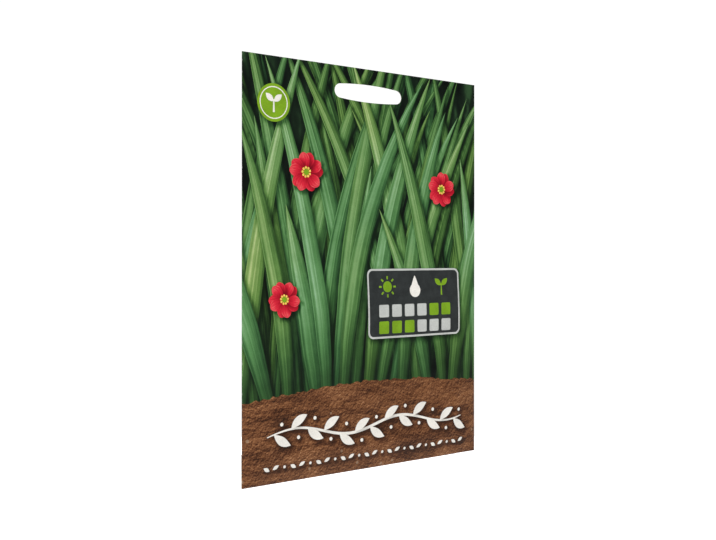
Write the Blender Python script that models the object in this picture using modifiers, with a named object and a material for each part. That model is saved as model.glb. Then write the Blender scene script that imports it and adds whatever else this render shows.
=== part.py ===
"""A flat paper seed packet, hanging by the peg slot in its header, with bean seeds inside.

The packet is one printed sheet. It is folded round at both sides, glued along a lap seam at the
back, and closed at the bottom by a flap that folds up behind. Units are metres, +Z is up and the
front faces -Y. The origin is the middle of the slot's upper edge, where a display peg bears.
"""

import math
import random

import bmesh
import bpy
from mathutils import Matrix

MM = 0.001

# The packet's outline and the slot punched through its header.
BAG_WIDTH = 120 * MM
BAG_HEIGHT = 165 * MM
SLOT_WIDTH = 34.6 * MM
SLOT_HEIGHT = 7.2 * MM
SLOT_BOW = 0.75 * MM
SLOT_END = 2.6 * MM
HEADER_ABOVE_SLOT = 6.5 * MM

# The sheet, the glue line that parts two layers of it, the lap seam and the bottom flap.
SHEET = 0.2 * MM
GLUE_GAP = 0.1 * MM
LAP_WIDTH = 11 * MM
LAP_STEP = 1.5 * MM
LAP_EDGE_INSET = 1.4 * MM
FLAP_HEIGHT = 13 * MM

# How far the seeds push the two panels out, and how far the paper takes to come in again.
FRONT_BULGE = 2.0 * MM
BACK_BULGE = 3.3 * MM
SIDE_SLOPE = 13 * MM
BOTTOM_SLOPE = 11 * MM
FULL_HEIGHT = 54 * MM
TOP_SLOPE = 44 * MM

# One bean seed, and how the seeds lie.
SEED_COUNT = 36
SEED_LENGTH = 12.6 * MM
SEED_WIDTH = 6.6 * MM
SEED_THICKNESS = 4.5 * MM
SEED_CURVE = 1.1 * MM
SEED_HOLLOW = 0.18
SEED_GAP = 0.35 * MM
SEED_TRIES = 6000
SEED_DRAW = 7

# The printed front has a brown band below its green field.
BROWN_BAND_HEIGHT = 37 * MM

# How finely the sheet, its folds, the slot and the seeds are divided.
FLAT_STEP = 20 * MM
PANEL_STEP = 8 * MM
SLOPE_STEP = 5 * MM
EDGE_STEP = 3 * MM
FOLD_STEPS = 4
TURN_STEPS = 6
SLOT_STEP = 1.8 * MM
SLOT_END_STEPS = 12
SEED_RING_SIDES = 10
SEED_RINGS = 6
CUTTER_DEPTH = 10 * MM

LAYER = SHEET + GLUE_GAP
HALF_WIDTH = BAG_WIDTH / 2
TOP_Z = HEADER_ABOVE_SLOT
BOTTOM_Z = TOP_Z - BAG_HEIGHT
FULL_Z = BOTTOM_Z + FULL_HEIGHT
FLAP_Z = BOTTOM_Z + FLAP_HEIGHT
FRONT, FOLD, BACK = -1, 0, 1


def clamp(t):
    return min(max(t, 0.0), 1.0)


def smooth_step(t):
    """0 below t = 0, 1 above t = 1, and level at both ends of the slope between."""
    t = clamp(t)
    return t * t * (3 - 2 * t)


def swell(t):
    """0 below t = 0, 1 above t = 1: it rises at once, as paper does beside a fold, then levels."""
    return 1 - (1 - clamp(t)) ** 2


def fullness(x, z):
    """How full the packet is at a place: 0 at its folds and in its header, 1 over the seeds."""
    from_side = swell((HALF_WIDTH - abs(x)) / SIDE_SLOPE)
    from_bottom = swell((z - BOTTOM_Z) / BOTTOM_SLOPE)
    above_seeds = smooth_step((z - FULL_Z) / TOP_SLOPE)
    return from_side * from_bottom * (1 - above_seeds)


def bulge(panel, x, z):
    """How far the seeds push a panel out along Y."""
    reach = {FRONT: -FRONT_BULGE, FOLD: 0.0, BACK: BACK_BULGE}[panel]
    return reach * fullness(x, z)


def back_layer(x):
    """Y of the back panel's middle surface where it is flat: it steps up to lie over the lap."""
    step_start = HALF_WIDTH - LAP_WIDTH - LAP_STEP
    return LAYER / 2 + LAYER * smooth_step((x - step_start) / LAP_STEP)


def spread(start, end, step):
    """Evenly spaced numbers from start to end, both included, about a step apart."""
    count = max(1, round(abs(end - start) / step))
    return [start + (end - start) * i / count for i in range(count + 1)]


def fold_columns(side):
    """Columns round one side fold, from the front to the back, as (x, y, panel)."""
    radius = LAYER / 2
    centre = side * (HALF_WIDTH - radius - SHEET / 2)
    angles = [math.pi * i / FOLD_STEPS for i in range(1, FOLD_STEPS)]
    return [(centre + side * radius * math.sin(a), -radius * math.cos(a), FOLD) for a in angles]


def sheet_columns():
    """Columns across the sheet: the lap, the right fold, the front, the left fold and the back."""
    flat_edge = HALF_WIDTH - LAYER / 2 - SHEET / 2
    lap_line = HALF_WIDTH - LAP_WIDTH
    middle = HALF_WIDTH - SIDE_SLOPE
    over_lap = spread(lap_line, HALF_WIDTH - LAP_EDGE_INSET, EDGE_STEP)
    lap_x = [lap_line + GLUE_GAP] + over_lap[1:] + [flat_edge]
    left_slope = spread(-flat_edge, -middle, EDGE_STEP)
    right_slope = [-x for x in reversed(left_slope)]
    front_x = left_slope + spread(-middle, middle, PANEL_STEP)[1:-1] + right_slope
    back_x = left_slope + spread(-middle, lap_line - LAP_STEP, PANEL_STEP)[1:]
    back_x += spread(lap_line - LAP_STEP, lap_line, LAP_STEP / 4)[1:] + over_lap[1:]
    columns = [(x, LAYER / 2, BACK) for x in lap_x]
    columns += reversed(fold_columns(1))
    columns += [(x, -LAYER / 2, FRONT) for x in reversed(front_x)]
    columns += fold_columns(-1)
    columns += [(x, back_layer(x), BACK) for x in back_x]
    return columns


def sheet_rows():
    """Rows down the sheet, as (part, value): z on the body, the turn's angle, z on the flap."""
    near_fold = spread(FLAP_Z, BOTTOM_Z, EDGE_STEP)[:-1]
    body = spread(TOP_Z, FULL_Z + TOP_SLOPE, FLAT_STEP)
    body += spread(FULL_Z + TOP_SLOPE, FULL_Z, SLOPE_STEP)[1:]
    body += spread(FULL_Z, FLAP_Z, PANEL_STEP)[1:]
    body += near_fold[1:]
    rows = [("body", z) for z in body]
    rows += [("turn", math.pi * i / TURN_STEPS) for i in range(TURN_STEPS + 1)]
    rows += [("flap", z) for z in reversed(near_fold)]
    return rows


def sheet_point(column, row):
    """Where one point of the flat sheet lies once the packet is folded."""
    x, y, panel = column
    part, value = row
    if part == "body":
        return x, y + bulge(panel, x, value), value
    axis_y = back_layer(x) + LAYER / 2
    radius = axis_y - y
    if part == "flap":
        return x, axis_y + radius + bulge(BACK, x, value), value
    axis_z = BOTTOM_Z + axis_y + LAYER / 2 + SHEET / 2
    return x, axis_y - radius * math.cos(value), axis_z - radius * math.sin(value)


def new_material(name, colour, roughness):
    material = bpy.data.materials.new(name)
    material.use_nodes = True
    shader = material.node_tree.nodes["Principled BSDF"]
    shader.inputs["Base Color"].default_value = (*colour, 1)
    shader.inputs["Roughness"].default_value = roughness
    shader.inputs["Metallic"].default_value = 0
    return material


def new_object(name, bm, collection):
    mesh = bpy.data.meshes.new(name)
    bm.to_mesh(mesh)
    bm.free()
    obj = bpy.data.objects.new(name, mesh)
    collection.objects.link(obj)
    return obj


def colour_bag(bag):
    """Green and brown print on the front, cream print on the back, and bare paper inside."""
    bag.data.materials.append(new_material("front_print_green", (0.10, 0.19, 0.06), 0.4))
    bag.data.materials.append(new_material("front_print_brown", (0.19, 0.085, 0.04), 0.4))
    bag.data.materials.append(new_material("back_print_cream", (0.80, 0.77, 0.68), 0.55))
    bag.data.materials.append(new_material("bare_paper", (0.86, 0.85, 0.82), 0.7))
    for face in bag.data.polygons:
        if face.center.y > 0:
            face.material_index = 2
        elif face.center.z < BOTTOM_Z + BROWN_BAND_HEIGHT:
            face.material_index = 1


def make_sheet(collection):
    """The printed sheet's middle surface: a grid, moved point by point into its folded shape."""
    columns, rows = sheet_columns(), sheet_rows()
    bm = bmesh.new()
    bmesh.ops.create_grid(bm, x_segments=len(columns) - 1, y_segments=len(rows) - 1, size=1)
    for vertex in bm.verts:
        column = round((vertex.co.x + 1) / 2 * (len(columns) - 1))
        row = round((1 - vertex.co.y) / 2 * (len(rows) - 1))
        vertex.co = sheet_point(columns[column], rows[row])
    return new_object("paper_bag", bm, collection)


def slot_outline():
    """The slot's outline as (x, z) round its middle: its edges bow outwards between round ends."""
    end_x = SLOT_WIDTH / 2 - SLOT_END
    end_height = SLOT_HEIGHT / 2 - SLOT_BOW
    lean = math.atan(2 * SLOT_BOW / end_x)
    radius = SLOT_END / (1 - math.sin(lean))
    half = []
    for x in spread(end_x, -end_x, SLOT_STEP):
        half.append((x, SLOT_HEIGHT / 2 - SLOT_BOW * (x / end_x) ** 2))
    for i in range(1, SLOT_END_STEPS):
        angle = lean + (math.pi - 2 * lean) * i / SLOT_END_STEPS
        x = radius * (math.sin(lean) - math.sin(angle)) - end_x
        half.append((x, end_height * math.cos(angle) / math.cos(lean)))
    return half + [(-x, -z) for x, z in half]


def make_slot_cutter(collection):
    """A block along Y with the slot's outline. Its top touches z = 0."""
    bm = bmesh.new()
    front = -CUTTER_DEPTH / 2
    corners = [bm.verts.new((x, front, z - SLOT_HEIGHT / 2)) for x, z in slot_outline()]
    extruded = bmesh.ops.extrude_face_region(bm, geom=[bm.faces.new(corners)])["geom"]
    back_corners = [item for item in extruded if isinstance(item, bmesh.types.BMVert)]
    bmesh.ops.translate(bm, verts=back_corners, vec=(0, CUTTER_DEPTH, 0))
    bmesh.ops.recalc_face_normals(bm, faces=bm.faces)
    cutter = new_object("slot_cutter", bm, collection)
    cutter.hide_render = True
    cutter.display_type = "WIRE"
    return cutter


def make_bag(collection, cutters):
    bag = make_sheet(collection)
    colour_bag(bag)
    paper = bag.modifiers.new("Paper", "SOLIDIFY")
    paper.thickness = SHEET
    paper.offset = 0
    paper.material_offset = len(bag.data.materials)
    paper.material_offset_rim = len(bag.data.materials)
    slot = bag.modifiers.new("Peg slot", "BOOLEAN")
    slot.operation = "DIFFERENCE"
    slot.object = make_slot_cutter(cutters)


def seed_bend(x):
    """How far the seed's long axis lies aside at x: its ends curve up and its middle sinks."""
    return SEED_CURVE * ((2 * x / SEED_LENGTH) ** 2 - 0.5)


def make_seed_mesh():
    """A kidney-shaped bean that lies flat in the XZ plane, with blunt ends and a hollow side."""
    bm = bmesh.new()
    bmesh.ops.create_uvsphere(bm, u_segments=SEED_RING_SIDES, v_segments=SEED_RINGS, radius=1)
    bmesh.ops.rotate(bm, verts=bm.verts, matrix=Matrix.Rotation(math.pi / 2, 3, "Y"))
    for vertex in bm.verts:
        along, thick, across = vertex.co
        blunt = math.sqrt(1 + along**2)
        hollow = SEED_HOLLOW * max(across, 0) * (1 - smooth_step(2 * abs(along)))
        x = along * SEED_LENGTH / 2
        z = (across * blunt - hollow) * SEED_WIDTH / 2 + seed_bend(x)
        vertex.co = (x, thick * blunt * SEED_THICKNESS / 2, z)
    mesh = bpy.data.meshes.new("bean_seed")
    bm.to_mesh(mesh)
    bm.free()
    mesh.shade_smooth()
    mesh.materials.append(new_material("bean_black", (0.012, 0.010, 0.012), 0.25))
    return mesh


def seed_discs(x, z, angle):
    """The centres of three discs that cover a seed as seen from the front."""
    reach = (SEED_LENGTH - SEED_WIDTH) / 2
    discs = []
    for along in (-reach, 0, reach):
        across = seed_bend(along)
        right = along * math.cos(angle) - across * math.sin(angle)
        up = along * math.sin(angle) + across * math.cos(angle)
        discs.append((x + right, z + up))
    return discs


def has_room(discs, taken):
    """Whether a seed's discs lie where the packet is full and stay clear of the other seeds."""
    apart = SEED_WIDTH + SEED_GAP
    for x, z in discs:
        if abs(x) > HALF_WIDTH - SIDE_SLOPE or z < BOTTOM_Z + BOTTOM_SLOPE:
            return False
    return all(math.dist(disc, other) > apart for disc in discs for other in taken)


def seed_places():
    """Where the seeds have settled, as (x, z, angle): each takes the lowest free place left."""
    draw = random.Random(SEED_DRAW)
    tries = []
    for _ in range(SEED_TRIES):
        z = draw.uniform(BOTTOM_Z, FULL_Z)
        x = draw.uniform(-HALF_WIDTH, HALF_WIDTH)
        tries.append((z, x, draw.uniform(0, 2 * math.pi)))
    places, taken = [], []
    for z, x, angle in sorted(tries):
        discs = seed_discs(x, z, angle)
        if len(places) < SEED_COUNT and has_room(discs, taken):
            places.append((x, z, angle))
            taken += discs
    return places


def make_seeds(collection):
    mesh = make_seed_mesh()
    middle_y = (BACK_BULGE - FRONT_BULGE) / 2
    for number, (x, z, angle) in enumerate(seed_places(), 1):
        seed = bpy.data.objects.new(f"bean_seed_{number:02d}", mesh)
        seed.location = (x, middle_y, z)
        seed.rotation_euler = (0, -angle, 0)
        collection.objects.link(seed)


def new_collection(name):
    collection = bpy.data.collections.new(name)
    bpy.context.scene.collection.children.link(collection)
    return collection


def main():
    for obj in list(bpy.data.objects):
        bpy.data.objects.remove(obj)
    packet = new_collection("seed_packet")
    cutters = new_collection("cutters")
    make_bag(packet, cutters)
    make_seeds(packet)


main()
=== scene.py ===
"""The looks of a flat paper seed packet that hangs by the peg slot in its header.

The print is laid out on the flat sheet, in millimetres, and the sheet is then folded into the
packet. On the flat sheet the front panel lies at -60 to 60 across, the lap is to its right and the
back panel to its left. Up is the height above the bottom fold, and the bottom flap is below zero.
"""

import math
import random

import bpy
import numpy as np
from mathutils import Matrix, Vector
from mathutils.geometry import delaunay_2d_cdt


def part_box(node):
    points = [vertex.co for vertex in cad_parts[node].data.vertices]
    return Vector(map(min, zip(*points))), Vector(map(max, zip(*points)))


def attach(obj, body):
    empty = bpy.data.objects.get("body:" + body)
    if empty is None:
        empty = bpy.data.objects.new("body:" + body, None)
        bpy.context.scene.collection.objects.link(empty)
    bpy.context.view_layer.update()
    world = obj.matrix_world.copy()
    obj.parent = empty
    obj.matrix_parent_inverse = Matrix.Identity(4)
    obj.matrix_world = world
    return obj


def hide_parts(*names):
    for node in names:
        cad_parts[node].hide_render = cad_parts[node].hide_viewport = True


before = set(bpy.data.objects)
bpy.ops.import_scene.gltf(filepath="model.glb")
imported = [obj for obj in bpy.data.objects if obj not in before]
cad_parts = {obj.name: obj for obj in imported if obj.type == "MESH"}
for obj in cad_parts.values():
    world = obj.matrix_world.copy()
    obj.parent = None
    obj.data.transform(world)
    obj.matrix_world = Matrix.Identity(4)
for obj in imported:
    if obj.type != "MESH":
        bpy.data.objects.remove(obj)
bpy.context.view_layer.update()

MM = 0.001

# The packet's construction, in millimetres, as its solids have it, but for the thinner paper:
# SHEET is how thick it is, and LAYER how far apart two layers of it lie.
BAG_LOW, BAG_HIGH = (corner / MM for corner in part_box("paper_bag"))
HALF_WIDTH = BAG_HIGH.x
HEIGHT = BAG_HIGH.z - BAG_LOW.z
BOTTOM_Z = BAG_LOW.z
SHEET = 0.12
LAYER = 0.17
LAP_WIDTH = 11.0
LAP_STEP = 1.5
LAP_EDGE_INSET = 1.4
LAP_GAP = 0.1
FLAP_HEIGHT = 13.0
SLOT_WIDTH = 34.6
SLOT_HEIGHT = 7.2
SLOT_BOW = 0.75
SLOT_END = 2.6
SLOT_BELOW_TOP = 6.5
FRONT_BULGE = 2.0
BACK_BULGE = 3.3
SIDE_SLOPE = 13.0
BOTTOM_SLOPE = 11.0
FULL_HEIGHT = 54.0
TOP_SLOPE = 44.0

# The folds on the flat sheet: an arc's length at each side, and a strip round the bottom edge.
FOLD_RADIUS = LAYER / 2
FOLD_X = HALF_WIDTH - FOLD_RADIUS - SHEET / 2
FOLD_ARC = math.pi * FOLD_RADIUS
FOLD_STEPS = 6
TURN_HALF = 0.9
TURN_STEPS = 6
BACK_CENTRE = -(2 * FOLD_X + FOLD_ARC)
LEFT_END = BACK_CENTRE - (HALF_WIDTH - LAP_EDGE_INSET)
RIGHT_END = -BACK_CENTRE - (HALF_WIDTH - LAP_WIDTH) - LAP_GAP
FRONT_START = -(FOLD_X + FOLD_ARC)
SLOT_UP = HEIGHT - SLOT_BELOW_TOP - SLOT_HEIGHT / 2

# How finely the sheet is divided, and how far its grid keeps from its edges and folds.
FRONT_STEP = 1.5
BACK_STEP = 1.8
LINE_STEP = 1.2
OUTLINE_STEP = 2.9
LAP_LINES = 4
GRID_START = 2.0
GRID_INSET = 0.6
GRID_CLEARANCE = 0.4
SLOT_EDGE_POINTS = 25
SLOT_END_POINTS = 17
MERGE = 0.004
NORMAL_STEP = 0.02

# Paper that has been handled: its sag between the seeds, which ends above them, and its slow wave.
FRONT_SAG = 0.4
BACK_SAG = 1.6
SAG_TOP = 70.0
SAG_FADE = 20.0
SEED_SPREAD = 4.4
WAVE = 0.12
WAVE_FADE = 60.0
STILL_HEADER = 15.0

# Its short creases lie up both sides and along the top of the bulge. Pairs are least and most,
# and each kind has its length, width and depth.
CREASE_DEPTH = 0.16
CREASE_SCATTER = 2.5
SIDE_CREASE_UPS = np.arange(14, 82, 6.5)
SIDE_CREASE_X = (49, 56)
SIDE_CREASE_TURN = (-0.2, 0.7)
SIDE_CREASE = ((3.5, 6.5), (1.6, 2.4), (0.4, 1))
TOP_CREASE_XS = np.arange(-42, 43, 12)
TOP_CREASE_UP = (66, 92)
TOP_CREASE_TURN = (-0.5, 0.5)
TOP_CREASE = ((7, 13), (1.6, 2.6), (0.3, 0.8))

# The sheet's materials, in the order of its slots.
INKS = "ground leaf soil charcoal pale_grey lime off_white red yellow cream green bare_paper".split()


def smooth_step(t):
    t = np.clip(t, 0, 1)
    return t * t * (3 - 2 * t)


def swell(t):
    return 1 - (1 - np.clip(t, 0, 1)) ** 2


def fullness(x, up):
    """How full the packet is at a place: 0 at its folds and in its header, 1 over the seeds."""
    from_side = swell((HALF_WIDTH - np.abs(x)) / SIDE_SLOPE)
    from_bottom = swell(up / BOTTOM_SLOPE)
    return from_side * from_bottom * (1 - smooth_step((up - FULL_HEIGHT) / TOP_SLOPE))


def seed_axes():
    """Each seed's middle and the half of its long axis, as (x, up) pairs, from its solid."""
    axes = []
    for name in sorted(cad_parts):
        if name.startswith("bean_seed"):
            points = np.array([v.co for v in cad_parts[name].data.vertices]) / MM
            flat = points[:, [0, 2]] - (0, BOTTOM_Z)
            middle = flat.mean(0)
            _, spread, directions = np.linalg.svd(flat - middle, full_matrices=False)
            half = directions[0] * spread[0] / math.sqrt(len(flat))
            axes.append((middle, half))
    return axes


def seed_cover(x, up, axes):
    """1 where the paper lies on a seed, falling towards 0 between the seeds."""
    bare = np.ones_like(x)
    for middle, half in axes:
        dx, dy = x - middle[0], up - middle[1]
        along = np.clip((dx * half[0] + dy * half[1]) / (half @ half), -1, 1)
        gap = np.hypot(dx - along * half[0], dy - along * half[1])
        bare = bare * (1 - np.exp(-((gap / SEED_SPREAD) ** 2)))
    return 1 - bare


def make_creases(draw):
    """Short creases where the paper slopes, as (x, up, direction, length, width, depth)."""

    def crease(x, up, direction, kind):
        return (x, up, direction, *(draw.uniform(*limits) for limits in kind))

    creases = []
    for side in (-1, 1):
        for row in SIDE_CREASE_UPS:
            x = side * draw.uniform(*SIDE_CREASE_X)
            up = row + draw.uniform(-CREASE_SCATTER, CREASE_SCATTER)
            creases.append(crease(x, up, side * draw.uniform(*SIDE_CREASE_TURN), SIDE_CREASE))
    for column in TOP_CREASE_XS:
        x = column + 2 * draw.uniform(-CREASE_SCATTER, CREASE_SCATTER)
        up = draw.uniform(*TOP_CREASE_UP)
        direction = math.pi / 2 + draw.uniform(*TOP_CREASE_TURN)
        creases.append(crease(x, up, direction, TOP_CREASE))
    return creases


def crease_relief(x, up, creases):
    relief = np.zeros_like(x)
    for cx, cy, direction, length, width, depth in creases:
        dx, dy = x - cx, up - cy
        along = dx * math.cos(direction) + dy * math.sin(direction)
        across = dy * math.cos(direction) - dx * math.sin(direction)
        relief -= depth * CREASE_DEPTH * np.exp(-((along / length) ** 2) - (across / width) ** 2)
    return relief


def wave(x, up):
    """The slow warp of the whole packet, still at the header."""
    below = smooth_step((HEIGHT - STILL_HEADER - up) / WAVE_FADE)
    return WAVE * below * (np.sin(up / 31 + 0.6) * 0.7 + np.sin(x / 27 - up / 60) * 0.5)


def back_layer(x):
    """Y of the back panel where it is flat: it steps up to lie over the lap."""
    step_start = HALF_WIDTH - LAP_WIDTH - LAP_STEP
    return LAYER / 2 + LAYER * smooth_step((x - step_start) / LAP_STEP)


AXES = seed_axes()
FRONT_CREASES = make_creases(random.Random(11))
BACK_CREASES = make_creases(random.Random(23))


def lift(x, up, bulge, sag_depth, creases):
    """How far a panel stands out: its bulge, less its sag between seeds, and its creases."""
    sag = sag_depth * (1 - seed_cover(x, up, AXES)) * smooth_step((SAG_TOP - up) / SAG_FADE)
    return fullness(x, up) * (bulge - sag + crease_relief(x, up, creases))


def folded(flat):
    """Where the folded packet has places on the flat sheet, given as rows of (across, up)."""
    across, up = flat[:, 0], flat[:, 1]
    side, reach = np.sign(across), np.abs(across)
    on_front = reach <= FOLD_X
    behind = reach > FOLD_X + FOLD_ARC
    turn = np.clip((reach - FOLD_X) / FOLD_ARC, 0, 1) * math.pi
    on_fold = side * (FOLD_X + FOLD_RADIUS * np.sin(turn))
    x = np.where(on_front, across, np.where(behind, side * (-BACK_CENTRE - reach), on_fold))
    over_lap = behind & (side < 0)
    y = np.where(over_lap, back_layer(x), -FOLD_RADIUS * np.cos(turn))
    height = np.where(up < 0, -up, up)
    back_lift = lift(x, height, BACK_BULGE, BACK_SAG, BACK_CREASES)
    front_lift = lift(x, height, FRONT_BULGE, FRONT_SAG, FRONT_CREASES)
    axis_y = back_layer(x) + LAYER / 2
    radius = axis_y - y
    angle = np.clip((TURN_HALF - up) / (2 * TURN_HALF), 0, 1) * math.pi
    turn_height = axis_y + LAYER / 2 + SHEET / 2 - radius * np.sin(angle)
    on_flap, on_body = up < -TURN_HALF, up > TURN_HALF
    body_y = y + np.where(on_front, -front_lift, np.where(behind, back_lift, 0))
    flap_y = axis_y + radius + back_lift
    turn_y = axis_y - radius * np.cos(angle)
    y = np.where(on_body, body_y, np.where(on_flap, flap_y, turn_y))
    z = np.where(on_body | on_flap, height, turn_height)
    return np.stack((x, y + wave(x, z), z + BOTTOM_Z), axis=1)


class Blade:
    """A leaf, petal or stroke: its spine is an arc from its base, with a width that varies."""

    casts_shadow = False
    rows = 15
    least_bend = 1e-5
    least_width = 0.05

    def __init__(self, base, heading, length, half_width, profile, bend=0.0, ink="leaf", tone=0.5):
        self.base, self.heading, self.length = base, heading, length
        self.half_width, self.profile = half_width, profile
        self.bend = math.copysign(max(abs(bend), self.least_bend), bend)
        self.ink, self.tone = ink, tone

    def spine(self, t):
        heading = self.heading + self.bend * self.length * t
        x = self.base[0] + (np.sin(heading) - math.sin(self.heading)) / self.bend
        y = self.base[1] - (np.cos(heading) - math.cos(self.heading)) / self.bend
        return x, y, heading

    def outline(self):
        t = (1 - np.cos(np.linspace(0, math.pi, self.rows))) / 2
        x, y, heading = self.spine(t)
        wide = self.half_width * self.profile(t)
        right = np.stack((x + wide * np.sin(heading), y - wide * np.cos(heading)), axis=1)
        left = np.stack((x - wide * np.sin(heading), y + wide * np.cos(heading)), axis=1)
        return [*right.tolist(), *left[::-1].tolist()]

    def place(self, x, y):
        """For places on the sheet: (across, along, gap).

        Across goes from -1 at the left edge to 1 at the right, along from 0 to 1 at the tip, and
        gap is how far a place lies outside the nearer edge.
        """
        turn = math.copysign(1, self.bend)
        cx = self.base[0] - math.sin(self.heading) / self.bend
        cy = self.base[1] + math.cos(self.heading) / self.bend
        dx, dy = turn * (x - cx), turn * (y - cy)
        swept = np.arctan2(dx, -dy) - self.heading
        swept = (swept + math.pi) % (2 * math.pi) - math.pi
        t = swept / self.bend / self.length
        across = turn * (np.hypot(dx, dy) - 1 / abs(self.bend))
        wide = self.half_width * self.profile(np.clip(t, 0, 1))
        return across / np.maximum(wide, self.least_width), t, np.abs(across) - wide

    def distance(self, x, y):
        _, t, gap = self.place(x, y)
        past = self.length * np.maximum(np.maximum(-t, t - 1), 0)
        return np.hypot(np.maximum(gap, 0), past)


class Box:
    """A rectangle with round corners, or a disc where its corners meet."""

    casts_shadow = False
    tone = 0.5

    def __init__(self, centre, size, corner, ink, angle=0.0):
        self.centre, self.size, self.corner = centre, size, corner
        self.ink, self.angle = ink, angle

    def outline(self):
        half = self.size[0] / 2 - self.corner, self.size[1] / 2 - self.corner
        steps = max(2, round(3 * self.corner ** 0.5) + 2)
        points = []
        for quarter, (sx, sy) in enumerate(((1, -1), (1, 1), (-1, 1), (-1, -1))):
            for i in range(steps + 1):
                turn = (quarter - 1 + i / steps) * math.pi / 2
                x = sx * half[0] + self.corner * math.cos(turn)
                y = sy * half[1] + self.corner * math.sin(turn)
                points.append(self.to_sheet(x, y))
        return points

    def to_sheet(self, x, y):
        cos, sin = math.cos(self.angle), math.sin(self.angle)
        return self.centre[0] + x * cos - y * sin, self.centre[1] + x * sin + y * cos

    def distance(self, x, y):
        cos, sin = math.cos(self.angle), math.sin(self.angle)
        dx, dy = x - self.centre[0], y - self.centre[1]
        u, v = np.abs(dx * cos + dy * sin), np.abs(dy * cos - dx * sin)
        u = np.maximum(u - self.size[0] / 2 + self.corner, 0)
        v = np.maximum(v - self.size[1] / 2 + self.corner, 0)
        return np.maximum(np.hypot(u, v) - self.corner, 0)


class Area:
    """A plain area inside any outline, which runs anticlockwise."""

    casts_shadow = False
    tone = 0.5

    def __init__(self, points, ink):
        self.points, self.ink = points, ink

    def outline(self):
        return self.points

    def distance(self, x, y):
        """How far places outside the area are from its sides."""
        least = np.full(x.shape, np.inf)
        for (x0, y0), (x1, y1) in zip(self.points, self.points[1:] + self.points[:1]):
            dx, dy = x1 - x0, y1 - y0
            t = np.clip(((x - x0) * dx + (y - y0) * dy) / (dx * dx + dy * dy), 0, 1)
            least = np.minimum(least, np.hypot(x - x0 - t * dx, y - y0 - t * dy))
        return least


def disc(centre, radius, ink):
    """A box whose round corners all but meet, so that no side of it has length zero."""
    return Box(centre, (2 * radius, 2 * radius), radius * 0.999, ink)


# A blade's profile is its half width along it, as a share of the widest. TIP keeps it above zero.

TIP = 0.002


def strap(t):
    """A long leaf: narrow at its base, widest at a third, drawn out to a point."""
    return (0.6 + 0.4 * smooth_step(t / 0.3)) * (1 - t**4) + TIP


def pointed(t):
    return np.sin(math.pi * t) ** 0.9 + TIP


def rounded(t):
    return np.sin(math.pi * t**1.4) ** 0.6 + TIP


def stalk(t):
    return 1 - 0.5 * t


def drop_tip(t):
    return (1 - t) ** 0.8 + TIP


# What the print is made of.

# Layers of leaves, the far ones dark and the near ones bright.
# Each has its count, lean, shortest and longest leaf, half width, and darkest and brightest tone.
FRONT_LEAVES = (
    (42, 0.10, 142, 184, 3.3, 0.26, 0.46),
    (33, 0.15, 128, 178, 3.7, 0.46, 0.74),
    (22, 0.20, 84, 156, 4.0, 0.72, 0.98),
)
HEADER_LEAVES = (
    (26, 0.30, 36, 52, 2.2, 0.22, 0.42),
    (22, 0.35, 28, 44, 2.3, 0.50, 0.76),
    (18, 0.40, 22, 34, 2.4, 0.74, 1.00),
)
FOLIAGE_REACH = 68
FOOT_SCATTER = (2.4, 3.0)
LEAF_FAN = 0.0012
LEAF_BEND = (0.0008, 0.0042)
LEAF_WIDTHS = (0.85, 1.15)

# How far print runs on past the sheet's edges, and the ground's crumbs.
BLEED = 2.0
CRUMB_STEP = 1.4
CRUMB_HEIGHT = 0.6

# A blossom. Its lengths are shares of its radius, but for where its petals start.
PETALS = 5
PETAL_START = 0.6
LOBES = ((-1, 0.42), (1, 0.58))
LOBE_TURN = 0.2
LOBE_WIDTH = 0.34
STAMENS = 9
STAMEN_RING = 0.24
STAMEN = 0.07
EYE = 0.17

# The drawn sprig and the border of small leaves.
SPRIG_LEAVES = 13
SPRIG_POINTS = 40
SPRIG_WAVE = 52
SPRIG_STEM = 0.6
CHAIN_PITCH = 4.0


def shadowed(shapes):
    """The shapes, marked to cast a soft printed shadow."""
    for shape in shapes:
        shape.casts_shadow = True
    return shapes


def ring(centre, radius, count, turn=0.0):
    """Places round a centre, each as its direction and its point."""
    for i in range(count):
        angle = turn + i * 2 * math.pi / count
        yield angle, (centre[0] + radius * math.cos(angle), centre[1] + radius * math.sin(angle))


def foliage(draw, layers, floor):
    """Long leaves that fan up out of the ground, from about the height floor."""
    aside, up = FOOT_SCATTER
    blades = []
    for count, lean, shortest, longest, half_width, dark, bright in layers:
        layer = []
        for i in range(count):
            x = -FOLIAGE_REACH + 2 * FOLIAGE_REACH * (i + 0.5) / count + draw.uniform(-aside, aside)
            tilt = draw.uniform(-lean, lean) - LEAF_FAN * x
            layer.append(
                Blade(
                    base=(x, floor + draw.uniform(-up, up)),
                    heading=math.pi / 2 + tilt,
                    length=draw.uniform(shortest, longest),
                    half_width=half_width * draw.uniform(*LEAF_WIDTHS),
                    profile=strap,
                    bend=math.copysign(draw.uniform(*LEAF_BEND), tilt),
                    tone=draw.uniform(dark, bright),
                )
            )
        draw.shuffle(layer)
        blades += layer
    return shadowed(blades)


def soil_area(draw, left, right, dome):
    """Ground with a crumbly top, from past the flap's end up to the height dome(x)."""
    crumbs = np.arange(right, left, -CRUMB_STEP)
    top = [(x, dome(x) + draw.uniform(-CRUMB_HEIGHT, CRUMB_HEIGHT)) for x in crumbs]
    low = -FLAP_HEIGHT - BLEED
    return Area([(left, low), (right, low), *top], "soil")


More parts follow.
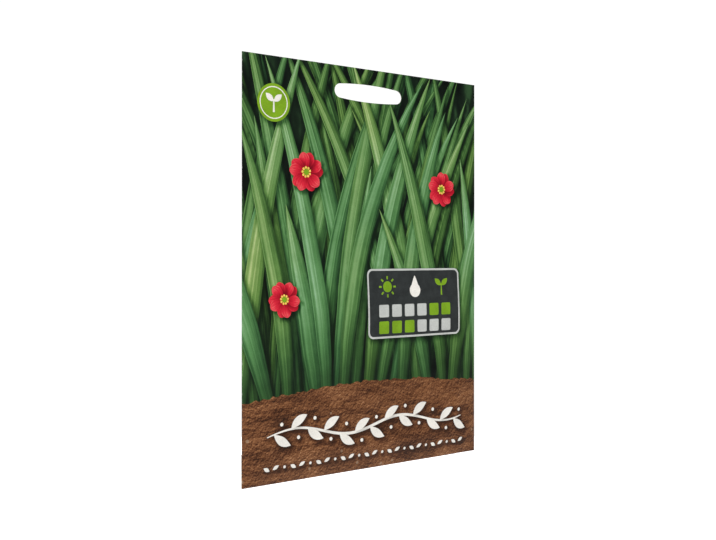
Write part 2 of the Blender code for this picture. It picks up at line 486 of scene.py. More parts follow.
def blossom(centre, radius, turn):
    """Notched red petals of two lobes each, round an eye with a ring of stamens."""
    lobe = {"length": radius, "half_width": radius * LOBE_WIDTH, "profile": rounded, "ink": "red"}
    shapes = []
    for middle, base in ring(centre, PETAL_START, PETALS, turn):
        for side, tone in LOBES:
            heading = middle + side * LOBE_TURN
            shapes.append(Blade(base, heading, bend=side * 0.02, tone=tone, **lobe))
    shapes = shadowed(shapes) + [disc(centre, radius * EYE, "lime")]
    for _, place in ring(centre, radius * STAMEN_RING, STAMENS, turn):
        shapes.append(disc(place, radius * STAMEN, "yellow"))
    return shapes


def sprig(centre, width, swing, ink):
    """A drawn stem that waves along, with leaves to both sides and a dot across from each."""
    start = centre[0] - width / 2
    xs = np.linspace(start, start + width, SPRIG_POINTS)
    ys = centre[1] + swing * np.sin((xs - start) * 2 * math.pi / SPRIG_WAVE)
    half = SPRIG_STEM * np.sin(np.linspace(0.02, 0.98, SPRIG_POINTS) * math.pi) ** 0.4
    stem = [*zip(xs, ys - half), *zip(xs[::-1], (ys + half)[::-1])]
    shapes = [Area(stem, ink)]
    for i in range(SPRIG_LEAVES):
        x = start + width * (i + 0.4) / SPRIG_LEAVES
        y = centre[1] + swing * math.sin((x - start) * 2 * math.pi / SPRIG_WAVE)
        side = 1 if i % 2 else -1
        leaf = {"length": 9.0, "half_width": 1.75, "profile": pointed, "bend": -side * 0.06}
        shapes.append(Blade((x, y), heading=side * 0.85, ink=ink, **leaf))
        shapes.append(disc((x + 3.4, y - side * 3.6), 0.75, ink))
    return shapes


def chain(centre, width, ink):
    """A fine border in a row: two small leaves, a dot, and so on."""
    shapes = []
    count = round(width / CHAIN_PITCH)
    for i in range(count):
        x = centre[0] + (i - (count - 1) / 2) * CHAIN_PITCH
        if i % 3 == 2:
            shapes.append(disc((x, centre[1]), 0.6, ink))
        else:
            lean = 0.5 if i % 3 else -0.5
            foot = x - 1.3, centre[1] - lean
            shapes.append(Blade(foot, lean, length=3.0, half_width=0.75, profile=pointed, ink=ink))
    return shapes


def drop(centre, size, ink):
    """A water drop: a round foot under a point."""
    foot = centre[0], centre[1] - size * 0.25
    start = foot[0], foot[1] - size * 0.1
    return [
        disc(foot, size * 0.42, ink),
        Blade(start, math.pi / 2, length=size, half_width=size * 0.4, profile=drop_tip, ink=ink),
    ]


def sun(centre, size, ink):
    """A disc with eight short rays."""
    shapes = [disc(centre, size * 0.27, ink)]
    for turn, place in ring(centre, size * 0.44, 8):
        shapes.append(Box(place, (size * 0.16, size * 0.09), size * 0.02, ink, angle=turn))
    return shapes


def sprout(centre, size, ink):
    """Two seed leaves on a short stem."""
    x, y = centre[0], centre[1] - size * 0.5
    stem = {"length": size * 0.62, "half_width": size * 0.055, "profile": stalk}
    leaf = {"length": size * 0.58, "half_width": size * 0.15, "profile": pointed}
    shapes = [Blade((x, y), heading=math.pi / 2, ink=ink, **stem)]
    for side in (-1, 1):
        heading = math.pi / 2 - side * 0.95
        shapes.append(Blade((x, y + size * 0.52), heading, bend=side * 0.03, ink=ink, **leaf))
    return shapes


def calendar(corner, columns, side, pitch, marks):
    """Two rows of month squares from the top left one; marks gives the ink of those marked."""
    shapes = []
    for row in range(2):
        for column in range(columns):
            place = corner[0] + column * pitch, corner[1] - row * pitch
            ink = marks.get((row, column), "pale_grey")
            shapes.append(Box(place, (side, side), 0.6, ink))
    return shapes


def bordered(centre, size, margin, corners, inks):
    """A panel and, before it, a slightly larger one that shows round it as its border."""
    inner = size[0] - margin, size[1] - margin
    return [Box(centre, size, corners[0], inks[0]), Box(centre, inner, corners[1], inks[1])]


# The front's print. Each blossom has its middle, its radius and its turn.

BLOSSOMS = (((-31, 121), 7.4, 0.3), ((-42, 71), 6.6, 0.9), ((40, 117), 7.0, 1.4))


def info_panel(centre):
    """A charcoal panel with a pale border, three signs and two rows of month squares."""
    x, y = centre
    border, panel = bordered(centre, (51, 29), 1.6, (2.6, 2.0), ("pale_grey", "charcoal"))
    shapes = [*shadowed([border]), panel]
    marks = dict.fromkeys(((0, 4), (0, 5), (1, 0), (1, 1), (1, 2)), "lime")
    shapes += calendar((x - 17.2, y - 3.1), columns=6, side=5.2, pitch=6.9, marks=marks)
    shapes += sun((x - 15, y + 7), 8.6, "lime")
    shapes += drop((x, y + 7), 7, "off_white")
    shapes += sprout((x + 15, y + 7), 8, "lime")
    return shapes


def round_mark(centre):
    """A lime disc with a thin ring and a sprout."""
    return [
        *shadowed([disc(centre, 7.4, "lime")]),
        disc(centre, 6.3, "off_white"),
        disc(centre, 5.9, "lime"),
        *sprout((centre[0], centre[1] + 0.3), 8, "off_white"),
    ]


def front_dome(x):
    """The height of the ground on the front."""
    return 31.5 + 5 * math.cos(x / 42)


def front_print():
    draw = random.Random(5)
    shapes = foliage(draw, FRONT_LEAVES, floor=27)
    for centre, radius, turn in BLOSSOMS:
        shapes += blossom(centre, radius, turn)
    shapes.append(soil_area(draw, FRONT_START - BLEED, RIGHT_END + BLEED, front_dome))
    shapes += shadowed(sprig(centre=(0, 18.5), width=100, swing=2.4, ink="off_white"))
    shapes += shadowed(chain(centre=(0, 6.4), width=104, ink="off_white"))
    shapes += info_panel(centre=(24, 68))
    shapes += round_mark(centre=(-46, 147))
    return shapes


# The back's print, laid out as seen from behind and then moved to its place on the sheet.

BAND_REACH = 62
HEADER_HEIGHT = 24
SIGN_UP = 125
SOWN_SEEDS = 4
SCALE_MARKS = 7


def band(low, high, ink):
    """A strip right across a panel."""
    reach = BAND_REACH
    return Area([(-reach, low), (reach, low), (reach, high), (-reach, high)], ink)


def back_dome(x):
    """The height of the ground on the back."""
    return 29 + 1.2 * math.sin(x / 17)


def sowing_picture(start, width, ground):
    """Seeds in the ground at one depth, a sprout above each, and a scale of depths beside them."""
    shapes = []
    for i in range(SOWN_SEEDS):
        x, angle = start + width * (i + 0.5) / SOWN_SEEDS, 0.35 - 0.2 * i
        shapes.append(Box((x, ground - 10), (5.2, 3.0), 1.45, "charcoal", angle))
        shapes.append(Box((x - 0.5, ground - 9.4), (2.2, 0.7), 0.3, "pale_grey", angle))
        shapes += sprout((x, back_dome(x) + 4.0), 10, "green")
    scale_x = start - 2
    shapes.append(Box((scale_x, ground - 7), (0.5, 12), 0.2, "off_white"))
    for i in range(SCALE_MARKS):
        length = 2.4 if i % 3 == 0 else 1.4
        place = scale_x + length / 2, ground - 1 - 2 * i
        shapes.append(Box(place, (length, 0.4), 0.15, "off_white"))
    return shapes


def ruled_panel(centre, size, lines):
    """A cream panel with a green border, ruled with pale lines."""
    shapes = bordered(centre, size, 1, (2.0, 1.6), ("green", "cream"))
    for i in range(lines):
        y = centre[1] + size[1] / 2 - size[1] * (i + 1) / (lines + 1)
        shapes.append(Box((centre[0], y), (size[0] - 8, 0.35), 0.1, "pale_grey"))
    return shapes


def back_print():
    draw = random.Random(8)
    header = HEIGHT - HEADER_HEIGHT
    shapes = [band(header - BLEED, HEIGHT + BLEED, "ground")]
    shapes += foliage(draw, HEADER_LEAVES, floor=header - 10)
    shapes += [band(-FLAP_HEIGHT - 3, header, "cream"), band(header - 1.6, header, "lime")]
    shapes.append(soil_area(draw, -BAND_REACH, BAND_REACH, back_dome))
    for x, draw_sign in ((-34, sun), (0, drop), (34, sprout)):
        shapes.append(disc((x, SIGN_UP), 8.5, "green"))
        shapes += draw_sign((x, SIGN_UP), 10.5, "off_white")
    marks = {(0, column): "lime" for column in (4, 5, 6)}
    marks |= {(1, column): "green" for column in (6, 7, 8, 9)}
    shapes += calendar((-42.9, 106), columns=12, side=6.6, pitch=7.8, marks=marks)
    shapes += ruled_panel(centre=(0, 73), size=(96, 32), lines=4)
    shapes += sowing_picture(start=-48, width=56, ground=30)
    shapes += bordered((34, 34), (28, 24), 0.8, (1.5, 1.2), ("pale_grey", "off_white"))
    for shape in shapes:
        move_to_back(shape)
    return shapes


def move_to_back(shape):
    if isinstance(shape, Area):
        shape.points = [(x + BACK_CENTRE, y) for x, y in shape.points]
    elif isinstance(shape, Blade):
        shape.base = shape.base[0] + BACK_CENTRE, shape.base[1]
    else:
        shape.centre = shape.centre[0] + BACK_CENTRE, shape.centre[1]


# The sheet's mesh.


def slot_outline():
    """The slot's outline round its middle: its edges bow outwards between round ends."""
    end_x = SLOT_WIDTH / 2 - SLOT_END
    end_height = SLOT_HEIGHT / 2 - SLOT_BOW
    lean = math.atan(2 * SLOT_BOW / end_x)
    radius = SLOT_END / (1 - math.sin(lean))
    edge = np.linspace(end_x, -end_x, SLOT_EDGE_POINTS)
    half = [(x, SLOT_HEIGHT / 2 - SLOT_BOW * (x / end_x) ** 2) for x in edge]
    for angle in np.linspace(lean, math.pi - lean, SLOT_END_POINTS)[1:-1]:
        x = radius * (math.sin(lean) - math.sin(angle)) - end_x
        half.append((x, end_height * math.cos(angle) / math.cos(lean)))
    return half + [(-x, -y) for x, y in half]


def fold_lines():
    """Every line of the flat sheet that the mesh has to follow, as pairs of ends."""
    low, high = -FLAP_HEIGHT, HEIGHT
    upright = [LEFT_END, RIGHT_END]
    for i in range(FOLD_STEPS + 1):
        upright += [side * (FOLD_X + FOLD_ARC * i / FOLD_STEPS) for side in (-1, 1)]
    for i in range(LAP_LINES + 1):
        upright.append(BACK_CENTRE - (HALF_WIDTH - LAP_WIDTH - LAP_STEP * i / LAP_LINES))
    level = [low, high]
    level += [TURN_HALF - 2 * TURN_HALF * i / TURN_STEPS for i in range(TURN_STEPS + 1)]
    lines = [((x, low), (x, high)) for x in upright]
    return lines + [((LEFT_END, y), (RIGHT_END, y)) for y in level]


def grid_points():
    """Points all over the sheet. Layers that come to lie on each other share their points."""
    ups = np.arange(GRID_START, HEIGHT, FRONT_STEP)
    ups = np.concatenate((-ups[ups < FLAP_HEIGHT - GRID_CLEARANCE], ups))
    lap_line = HALF_WIDTH - LAP_WIDTH
    back_start = BACK_CENTRE - (lap_line - LAP_STEP - GRID_INSET)
    front = np.arange(GRID_INSET - HALF_WIDTH, HALF_WIDTH, FRONT_STEP)
    layered = np.arange(lap_line + GRID_INSET, HALF_WIDTH - LAP_EDGE_INSET, FRONT_STEP)
    back = np.arange(back_start, FRONT_START - GRID_CLEARANCE, BACK_STEP)
    columns = np.concatenate((front, -BACK_CENTRE - layered, BACK_CENTRE - layered, back))
    return [(x, y) for x in columns for y in ups]


def divided(outline):
    """An outline with points added along its long sides, so that they follow the bulging paper."""
    points = []
    for (x0, y0), (x1, y1) in zip(outline, outline[1:] + outline[:1]):
        count = max(1, math.ceil(math.hypot(x1 - x0, y1 - y0) / OUTLINE_STEP))
        points += [(x0 + (x1 - x0) * i / count, y0 + (y1 - y0) * i / count) for i in range(count)]
    return points


def divide_sheet(shapes, front_count):
    """The flat sheet as triangles that follow its folds and every printed edge.

    Gives its points, its triangles, and for each triangle the number of its topmost shape or -1.
    The first front_count shapes are printed on the front, and the others on the back.
    """
    points, edges, loops = grid_points(), [], []
    for (x0, y0), (x1, y1) in fold_lines():
        count = max(1, round(math.hypot(x1 - x0, y1 - y0) / LINE_STEP))
        for i in range(count + 1):
            points.append((x0 + (x1 - x0) * i / count, y0 + (y1 - y0) * i / count))
        edges += [(len(points) - 2 - i, len(points) - 1 - i) for i in range(count)]
    slots = [[(x + c, y + SLOT_UP) for x, y in slot_outline()] for c in (0, BACK_CENTRE)]
    for outline in slots + [divided(shape.outline()) for shape in shapes]:
        loops.append(list(range(len(points), len(points) + len(outline))))
        points += outline
    corners = [Vector(p) for p in points]
    vertices, _, faces, _, _, loops_round = delaunay_2d_cdt(corners, edges, loops, 0, MERGE, True)
    places = np.array([vertex[:] for vertex in vertices])
    triangles = np.array(faces)
    middle = places[triangles].mean(1)
    on_back = middle[:, 0] < FRONT_START
    top = np.full(len(triangles), -1)
    kept = (middle[:, 0] > LEFT_END) & (middle[:, 0] < RIGHT_END)
    kept &= (middle[:, 1] > -FLAP_HEIGHT) & (middle[:, 1] < HEIGHT)
    for i, inside in enumerate(loops_round):
        if inside and min(inside) < len(slots):
            kept[i] = False
        printed = [n - len(slots) for n in inside]
        top[i] = max((n for n in printed if (n >= front_count) == on_back[i]), default=-1)
    used, triangles = np.unique(triangles[kept], return_inverse=True)
    return places[used], triangles.reshape(-1, 3), top[kept]


# The printed shadow that a shape casts on those below it.
SHADOW_SHIFT = (0.7, -0.9)
SHADOW_REACH = 2.0
SHADOW_DEPTH = 0.55
DEEPEST_SHADE = 0.22


def printed_values(shapes, places, triangles, top, front_count):
    """For each triangle corner: (across, along) on its leaf, the shape's tone, and its shade."""
    x, y = places[triangles][:, :, 0], places[triangles][:, :, 1]
    on_front = x.mean(1) > FRONT_START
    across, along = np.zeros(x.shape), np.zeros(x.shape)
    tone, shade = np.full(x.shape, 0.5), np.ones(x.shape)
    for number, shape in enumerate(shapes):
        mine = top == number
        tone[mine] = shape.tone
        if isinstance(shape, Blade):
            across[mine], along[mine], _ = shape.place(x[mine], y[mine])
        if not shape.casts_shadow:
            continue
        below = (on_front == (number < front_count)) & (top < number)
        gap = shape.distance(x[below] - SHADOW_SHIFT[0], y[below] - SHADOW_SHIFT[1])
        shade[below] *= 1 - SHADOW_DEPTH * (1 - smooth_step(gap / SHADOW_REACH)) ** 2
    return across, along, tone, np.maximum(shade, DEEPEST_SHADE)


def sheet_normals(places):
    """The outward direction of the folded sheet at each place."""
    right, up = (NORMAL_STEP, 0), (0, NORMAL_STEP)
    along_x = folded(places + right) - folded(places - right)
    along_y = folded(places + up) - folded(places - up)
    normals = np.cross(along_x, along_y)
    return normals / np.linalg.norm(normals, axis=1)[:, None]


def cut_edge(triangles):
    """The sides that belong to one triangle only."""
    sides = np.concatenate([triangles[:, [0, 1]], triangles[:, [1, 2]], triangles[:, [2, 0]]])
    ends = np.sort(sides, axis=1)
    _, first, uses = np.unique(ends, axis=0, return_index=True, return_counts=True)
    return sides[first[uses == 1]]


def rim_directions(outer, inner, rim):
    """The outward direction of each face of the cut edge."""
    along = outer[rim[:, 1]] - outer[rim[:, 0]]
    through = inner[rim[:, 0]] - outer[rim[:, 0]]
    direction = np.cross(through, along)
    return direction / np.maximum(np.linalg.norm(direction, axis=1), 1e-12)[:, None]


def build_sheet():
    """The folded, printed sheet as one closed thin solid."""
    front, back = front_print(), back_print()
    shapes = front + back
    places, triangles, top = divide_sheet(shapes, len(front))
    values = printed_values(shapes, places, triangles, top, len(front))
    middle, normals = folded(places), sheet_normals(places)
    outer, inner = middle + normals * SHEET / 2, middle - normals * SHEET / 2
    count, rim = len(places), cut_edge(triangles)
    rim_quads = np.stack((rim[:, 1], rim[:, 0], rim[:, 0] + count, rim[:, 1] + count), axis=1)
    faces = triangles.tolist() + (triangles[:, ::-1] + count).tolist() + rim_quads.tolist()
    mesh = bpy.data.meshes.new("printed_sheet")
    mesh.from_pydata(np.concatenate((outer, inner)) * MM, [], faces)
    on_back = places[triangles][:, :, 0].mean(1) < FRONT_START
    plain_inks = np.where(on_back, INKS.index("cream"), INKS.index("ground"))
    shape_inks = np.array([INKS.index(shape.ink) for shape in shapes])
    inks = np.where(top < 0, plain_inks, shape_inks[top])
    bare = np.full(len(triangles) + len(rim), INKS.index("bare_paper"))
    mesh.polygons.foreach_set("material_index", np.concatenate((inks, bare)).astype(np.int32))
    for name, value in zip(("leaf_across", "leaf_along", "print_tone", "print_shade"), values):
        full = np.zeros(len(mesh.loops), np.float32)
        full[: value.size] = value.ravel()
        mesh.attributes.new(name, "FLOAT", "CORNER").data.foreach_set("value", full)
    mesh.shade_smooth()
    rim_normals = np.repeat(rim_directions(outer, inner, rim), 4, axis=0)
    corner_normals = np.concatenate(
        (normals[triangles.ravel()], -normals[triangles[:, ::-1].ravel()], rim_normals)
    )
    mesh.normals_split_custom_set(corner_normals)
    return mesh


# Materials.


class Nodes:
    """Adds shader nodes to a tree. Each input takes a value or another node's socket."""

    def __init__(self, tree):
        self.tree = tree

    def add(self, kind, inputs=None, **settings):
        node = self.tree.nodes.new("ShaderNode" + kind)
        for name, value in settings.items():
            setattr(node, name, value)
        self.feed(node, inputs or {})
        return node

    def feed(self, node, inputs):
        for key, value in inputs.items():
            if isinstance(value, bpy.types.NodeSocket):
                self.tree.links.new(value, node.inputs[key])
            else:
                node.inputs[key].default_value = value

    def math(self, operation, a, b=0.0):
        return self.add("Math", {0: a, 1: b}, operation=operation).outputs[0]

    def total(self, first, *others):
        for other in others:
            first = self.math("ADD", first, other)
        return first

    def times(self, a, b):
        return self.math("MULTIPLY", a, b)

    def smooth(self, value, low, high, start=0.0, end=1.0):
        inputs = {"Value": value, "From Min": low, "From Max": high, "To Min": start, "To Max": end}
        return self.add("MapRange", inputs, interpolation_type="SMOOTHSTEP").outputs[0]

    def noise(self, scale, vector=None, detail=2.0, distortion=0.0):
        inputs = {"Scale": scale, "Detail": detail, "Distortion": distortion}
        if vector is not None:
            inputs["Vector"] = vector
        return self.add("TexNoise", inputs).outputs[0]

    def ramp(self, value, *stops):
        node = self.add("ValToRGB", {"Fac": value})
        elements = node.color_ramp.elements
        while len(elements) < len(stops):
            elements.new(1.0)
        for element, (place, colour) in zip(elements, stops):
            element.position = place
            element.color = (*colour, 1)
        return node.outputs[0]

    def mix(self, a, b, factor, blend="MIX"):
        def colour(value):
            return value if isinstance(value, bpy.types.NodeSocket) else (*value, 1)

        inputs = {0: factor, 6: colour(a), 7: colour(b)}
        return self.add("Mix", inputs, data_type="RGBA", blend_type=blend).outputs[2]

    def vector(self, x, y, z):
        return self.add("CombineXYZ", {0: x, 1: y, 2: z}).outputs[0]

    def grey(self, value):
        return self.add("CombineColor", {0: value, 1: value, 2: value}).outputs[0]

    def attribute(self, name):
        return self.add("Attribute", attribute_name=name).outputs["Fac"]

    def place(self):
        return self.add("TexCoord").outputs["Object"]


def srgb(red, green, blue):
    """A colour given as it looks on a screen, 0 to 255, as a shader needs it."""
    values = (c / 255 for c in (red, green, blue))
    return tuple(c / 12.92 if c <= 0.04045 else ((c + 0.055) / 1.055) ** 2.4 for c in values)


def new_material(name):
    """A material, its shader, and the Nodes of its tree."""
    material = bpy.data.materials.new(name)
    material.use_nodes = True
    return material, material.node_tree.nodes["Principled BSDF"], Nodes(material.node_tree)


PAPER_WHITE = srgb(232, 229, 222)
WORN_EDGE = 0.0004


def paper_group():
    """What every ink shares: the coated paper's grain, its gloss and the wear along its folds."""
    group = bpy.data.node_groups.new("coated_paper", "ShaderNodeTree")
    for name, kind in (("Normal", "Vector"), ("Roughness", "Float"), ("Wear", "Float")):
        group.interface.new_socket(name, in_out="OUTPUT", socket_type="NodeSocket" + kind)
    nodes = Nodes(group)
    place = nodes.place()
    fibre = nodes.noise(3600, place, detail=3)
    coat = nodes.noise(420, place, detail=3)
    mottle = nodes.noise(90, place)
    relief = nodes.total(nodes.times(fibre, 0.35), nodes.times(coat, 0.65))
    bump = nodes.add("Bump", {"Strength": 0.35, "Distance": 0.00003, "Height": relief})
    rough = nodes.total(nodes.times(coat, 0.14), nodes.times(mottle, 0.10), 0.36)
    axes = nodes.add("SeparateXYZ", {0: place})
    from_side = nodes.math("SUBTRACT", HALF_WIDTH * MM, nodes.math("ABSOLUTE", axes.outputs[0]))
    from_bottom = nodes.math("SUBTRACT", axes.outputs[2], BOTTOM_Z * MM)
    from_top = nodes.math("SUBTRACT", BAG_HIGH.z * MM, axes.outputs[2])
    from_edge = nodes.math("MINIMUM", from_side, nodes.math("MINIMUM", from_bottom, from_top))
    near = nodes.smooth(from_edge, WORN_EDGE, 0.0)
    rubbed = nodes.smooth(nodes.noise(500, place, detail=4), 0.5, 0.75)
    wear = nodes.times(nodes.times(near, rubbed), 0.3)
    output = group.nodes.new("NodeGroupOutput")
    nodes.feed(output, {"Normal": bump.outputs[0], "Roughness": rough, "Wear": wear})
    return group


COATED_PAPER = paper_group()


def ink_material(name, paint):
    """One printed colour, as paint(nodes) gives it; the paper shows where it is worn."""
    material, shader, nodes = new_material("print_" + name)
    paper = nodes.add("Group", node_tree=COATED_PAPER).outputs
    grain = nodes.smooth(nodes.noise(2600, nodes.place(), detail=1), 0.3, 0.7, 0.93, 1.05)
    colour = nodes.mix(paint(nodes), nodes.grey(grain), 1.0, "MULTIPLY")
    worn = nodes.mix(colour, PAPER_WHITE, paper["Wear"])
    nodes.feed(shader, {"Base Color": worn, "Specular IOR Level": 0.12})
    nodes.feed(shader, {"Roughness": paper["Roughness"], "Normal": paper["Normal"]})
    return material


def near_ground(nodes):
    """1 high up, falling to 0.38 down among the leaves' feet."""
    height = nodes.add("SeparateXYZ", {0: nodes.place()}).outputs[2]
    return nodes.smooth(height, (BOTTOM_Z + 26) * MM, (BOTTOM_Z + 80) * MM, 0.38, 1.0)


def paint_leaf(nodes):
    """A leaf: a lit and a shaded half, a pale midrib, fine long veins and a thin bright edge."""
    across, along = nodes.attribute("leaf_across"), nodes.attribute("leaf_along")
    tone, shade = nodes.attribute("print_tone"), nodes.attribute("print_shade")
    own = nodes.times(tone, 97.0)

    def streaks(across_scale, along_scale, detail):
        u, v = nodes.times(across, across_scale), nodes.times(along, along_scale)
        return nodes.math("SUBTRACT", nodes.noise(1.0, nodes.vector(u, v, own), detail), 0.5)

    aside = nodes.math("ABSOLUTE", across)
    off_ridge = nodes.math("ABSOLUTE", nodes.math("ADD", across, 0.45))
    light = nodes.total(
        nodes.times(tone, 0.50),
        nodes.times(nodes.smooth(aside, 1.02, 0.45), 0.25),
        nodes.times(nodes.smooth(across, -0.06, 0.10), -0.15),
        nodes.times(nodes.smooth(aside, 0.11, 0.04), 0.15),
        nodes.times(nodes.smooth(off_ridge, 0.3, 0.0), 0.15),
        nodes.times(nodes.smooth(across, -0.80, -0.92), 0.20),
        nodes.times(streaks(7.5, 1.6, 3), 0.42),
        nodes.times(streaks(2.2, 5.0, 3), 0.34),
        nodes.times(streaks(0.9, 26.0, 2), 0.16),
        0.03,
    )
    light = nodes.times(nodes.times(light, shade), near_ground(nodes))
    colour = nodes.ramp(
        light,
        (0.0, srgb(5, 11, 7)),
        (0.14, srgb(17, 34, 18)),
        (0.35, srgb(52, 86, 44)),
        (0.56, srgb(87, 127, 70)),
        (0.8, srgb(121, 155, 100)),
        (1.0, srgb(166, 192, 146)),
    )
    hue = nodes.smooth(nodes.noise(1.0, nodes.vector(0.0, along, own)), 0.32, 0.68)
    tint = nodes.mix((0.86, 1.0, 1.16), (1.16, 1.02, 0.80), hue)
    return nodes.mix(colour, tint, 1.0, "MULTIPLY")


def paint_ground(nodes):
    """The dim green depth behind the leaves."""
    place = nodes.add("Mapping", {"Vector": nodes.place(), "Scale": (1.0, 1.0, 0.35)}).outputs[0]
    haze = nodes.noise(150, place, detail=2, distortion=0.4)
    light = nodes.times(nodes.smooth(haze, 0.35, 0.75), nodes.attribute("print_shade"))
    light = nodes.times(light, near_ground(nodes))
    dark, middle, bright = srgb(6, 11, 8), srgb(19, 33, 21), srgb(48, 76, 46)
    return nodes.ramp(light, (0.0, dark), (0.5, middle), (1.0, bright))


TOWARDS_LIGHT = (-0.00012, 0, 0.00028)


def paint_soil(nodes):
    """Crumbly brown earth lit from above, with darker damp layers and a few pale stones."""
    place = nodes.place()

    def relief(at):
        clods = nodes.add("TexVoronoi", {"Vector": at, "Scale": 560.0}).outputs["Distance"]
        return nodes.total(nodes.times(clods, -0.55), nodes.noise(1300, at, detail=3))

    above = nodes.add("VectorMath", {0: place, 1: TOWARDS_LIGHT}, operation="ADD").outputs[0]
    slope = nodes.math("SUBTRACT", relief(place), relief(above))
    patches = nodes.noise(85, place, detail=4)
    flat = nodes.add("Mapping", {"Vector": place, "Scale": (0.2, 1.0, 1.0)}).outputs[0]
    layers = nodes.smooth(nodes.noise(210, flat, detail=2, distortion=0.7), 0.36, 0.5)
    light = nodes.total(
        nodes.times(slope, 1.1),
        nodes.times(patches, 0.55),
        nodes.times(layers, 0.16),
        nodes.times(nodes.noise(1500, place, detail=3), 0.34),
        -0.08,
    )
    light = nodes.times(light, nodes.attribute("print_shade"))
    earth = nodes.ramp(
        light,
        (0.0, srgb(22, 12, 8)),
        (0.28, srgb(64, 37, 22)),
        (0.5, srgb(104, 65, 40)),
        (0.75, srgb(144, 98, 64)),
        (1.0, srgb(190, 148, 110)),
    )
    stones = nodes.add("TexVoronoi", {"Vector": place, "Scale": 210.0})
    chosen = nodes.smooth(stones.outputs["Color"], 0.66, 0.70)
    round_stone = nodes.smooth(stones.outputs["Distance"], 0.17, 0.11)
    return nodes.mix(earth, srgb(150, 126, 102), nodes.times(nodes.times(chosen, round_stone), 0.7))


def paint_petal(nodes):
    """A red petal's lobe: deep at the blossom's eye, veined, and paler at its rim."""
    across, along = nodes.attribute("leaf_across"), nodes.attribute("leaf_along")
    tone = nodes.attribute("print_tone")
    place = nodes.vector(nodes.times(across, 6.0), along, tone)
    veins = nodes.math("SUBTRACT", nodes.noise(1.0, place, detail=3), 0.5)
    rim = nodes.smooth(nodes.math("ABSOLUTE", across), 0.72, 1.0)
    light = nodes.total(
        nodes.times(nodes.smooth(along, 0.05, 0.85), 0.42),
        nodes.times(rim, 0.12),
        nodes.times(veins, 0.55),
        nodes.times(tone, 0.5),
    )
    light = nodes.times(light, nodes.attribute("print_shade"))
    return nodes.ramp(
        light,
        (0.0, srgb(70, 4, 14)),
        (0.35, srgb(168, 18, 38)),
        (0.65, srgb(208, 40, 58)),
        (1.0, srgb(240, 128, 122)),
    )


def plain_ink(colour, mottle=0.06, scale=160):
    """An even ink with a slight mottle, and the printed shade of what lies over it."""

    def paint(nodes):
        noise = nodes.noise(scale, nodes.place(), detail=4)
        cloud = nodes.smooth(noise, 0.3, 0.7, 1 - mottle, 1 + mottle)
        shade = nodes.smooth(nodes.attribute("print_shade"), 0.0, 1.0, 0.55, 1.0)
        return nodes.mix(colour, nodes.grey(nodes.times(cloud, shade)), 1.0, "MULTIPLY")

    return paint


def bare_paper_material():
    """Uncoated paper: the sheet's inside and its cut edges."""
    material, shader, nodes = new_material("bare_paper")
    fibres = nodes.noise(2800, nodes.place(), detail=4)
    colour = nodes.ramp(fibres, (0.3, srgb(214, 209, 198)), (0.7, srgb(240, 238, 232)))
    bump = nodes.add("Bump", {"Strength": 0.5, "Distance": 0.00004, "Height": fibres})
    rough = nodes.smooth(fibres, 0.3, 0.7, 0.72, 0.9)
    nodes.feed(shader, {"Base Color": colour, "Roughness": rough, "Normal": bump.outputs[0]})
    nodes.feed(shader, {"Specular IOR Level": 0.25})
    return material


def seed_material():
    """A black bean's coat: glossy, with faint violet clouding and fine pits."""
    material, shader, nodes = new_material("bean_coat")
    place = nodes.place()
    cloud = nodes.noise(420, place, detail=4)
    pits = nodes.noise(3200, place, detail=3)
    colour = nodes.ramp(cloud, (0.3, srgb(18, 15, 20)), (0.7, srgb(44, 34, 44)))
    bump = nodes.add("Bump", {"Strength": 0.25, "Distance": 0.00005, "Height": pits})
    rough = nodes.smooth(cloud, 0.3, 0.7, 0.18, 0.34)
    nodes.feed(shader, {"Base Color": colour, "Roughness": rough, "Normal": bump.outputs[0]})
    return material


def add_object(name, data):
    """A new object in the scene."""
    made = bpy.data.objects.new(name, data)
    bpy.context.scene.collection.objects.link(made)
    return made


def make_packet():
    mesh = build_sheet()
    paints = {
        "ground": paint_ground,
        "leaf": paint_leaf,
        "soil": paint_soil,
        "charcoal": plain_ink(srgb(46, 49, 49), 0.14, 300),
        "pale_grey": plain_ink(srgb(186, 188, 184)),
        "lime": plain_ink(srgb(118, 156, 34), 0.10),
        "off_white": plain_ink(srgb(228, 224, 216), 0.04),
        "red": paint_petal,
        "yellow": plain_ink(srgb(232, 196, 92), 0.1, 900),
        "cream": plain_ink(srgb(226, 219, 198), 0.03),
        "green": plain_ink(srgb(62, 104, 52), 0.07),
    }
    for name in INKS[:-1]:
        mesh.materials.append(ink_material(name, paints[name]))
    mesh.materials.append(bare_paper_material())
    packet = add_object("printed_packet", mesh)
    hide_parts("paper_bag")
    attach(packet, "root")


def dress_seeds():
    """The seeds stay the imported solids, rounded by subdivision."""
    coat = seed_material()
    for name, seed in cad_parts.items():
        if name.startswith("bean_seed"):
            seed.material_slots[0].material = coat
            rounder = seed.modifiers.new("Rounder", "SUBSURF")
            rounder.levels = rounder.render_levels = 2


# The stage, the lights and the camera.

IMAGE_WIDTH, IMAGE_HEIGHT = 716, 540
SENSOR_WIDTH = 36.0
FOCAL_PX = 950.9
HORIZON_PX = 255.85
CAMERA_PLACE = (-0.23866, -0.31319, -0.07057)
CAMERA_YAW = math.radians(-36.67)

FLOOR_SIDES = 64
FLOOR_RADIUS = 1.4
FLOOR_DROP = 0.25
FLOOR_GLOW = 0.6

# The surroundings: how bright the camera sees them, how bright they light the packet, and how
# bright they are in the dark patch that the front would mirror to the camera.
WORLD_WHITE = 1.05
WORLD_FILL = 0.5
WORLD_FLAG = 0.03
FLAG_DIRECTION = (0.596, -0.803, 0.0)
FLAG_EDGE = (0.55, 0.92)

# Each light has its place, its size and its power.
LIGHTS = {
    "key": ((-0.9, -0.9, 0.7), 1.0, 15),
    "top": ((0.3, -0.7, 1.3), 1.0, 9),
    "rear": ((1.2, 0.7, 0.7), 0.6, 20),
}


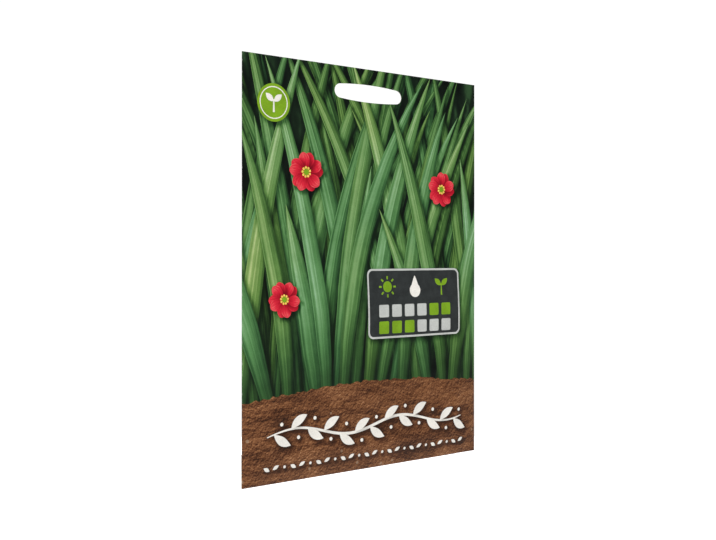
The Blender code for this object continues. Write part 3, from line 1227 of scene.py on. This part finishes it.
def make_camera():
    data = bpy.data.cameras.new("camera")
    data.sensor_width = SENSOR_WIDTH
    data.lens = SENSOR_WIDTH * FOCAL_PX / IMAGE_WIDTH
    data.shift_y = (HORIZON_PX - IMAGE_HEIGHT / 2) / IMAGE_WIDTH
    data.clip_start = 0.01
    camera = add_object("camera", data)
    camera.location = CAMERA_PLACE
    camera.rotation_euler = (math.pi / 2, 0, CAMERA_YAW)
    bpy.context.scene.camera = camera


def area_light(name, place, target, size, power):
    data = bpy.data.lights.new(name, "AREA")
    data.size = size
    data.energy = power
    light = add_object(name, data)
    light.location = place
    light.rotation_euler = (Vector(target) - Vector(place)).to_track_quat("-Z", "Y").to_euler()


def seen_strength(nodes, seen, unseen):
    """A strength for white light: seen as the camera sees it, and unseen for all other light."""
    camera_ray = nodes.add("LightPath").outputs["Is Camera Ray"]
    return nodes.smooth(camera_ray, 0.0, 1.0, unseen, seen)


def make_stage():
    """A wide pale floor, far enough below the packet to take no visible shadow."""
    turns = [2 * math.pi * i / FLOOR_SIDES for i in range(FLOOR_SIDES)]
    floor_z = BOTTOM_Z * MM - FLOOR_DROP
    points = [(FLOOR_RADIUS * math.cos(t), FLOOR_RADIUS * math.sin(t), floor_z) for t in turns]
    mesh = bpy.data.meshes.new("floor")
    mesh.from_pydata(points, [], [tuple(range(FLOOR_SIDES))])
    material, shader, nodes = new_material("floor")
    glow = seen_strength(nodes, FLOOR_GLOW, 0.0)
    nodes.feed(shader, {"Base Color": (0.85, 0.85, 0.85, 1), "Roughness": 0.9})
    nodes.feed(shader, {"Emission Color": (1, 1, 1, 1), "Emission Strength": glow})
    nodes.feed(shader, {"Specular IOR Level": 0.1})
    mesh.materials.append(material)
    add_object("floor", mesh)


def make_light():
    world = bpy.data.worlds.new("studio")
    world.use_nodes = True
    nodes = Nodes(world.node_tree)
    towards = nodes.add("TexCoord").outputs["Generated"]
    flag = nodes.add("VectorMath", {0: towards, 1: FLAG_DIRECTION}, operation="DOT_PRODUCT")
    fill = nodes.smooth(flag.outputs["Value"], *FLAG_EDGE, WORLD_FILL, WORLD_FLAG)
    strength = seen_strength(nodes, WORLD_WHITE, fill)
    background = world.node_tree.nodes["Background"]
    nodes.feed(background, {"Color": (1, 1, 1, 1), "Strength": strength})
    bpy.context.scene.world = world
    target = (0, 0, BOTTOM_Z * MM / 2)
    for name, (place, size, power) in LIGHTS.items():
        area_light(name, place, target, size, power)
    bpy.context.scene.view_settings.view_transform = "Standard"


make_packet()
dress_seeds()
make_stage()
make_light()
make_camera()
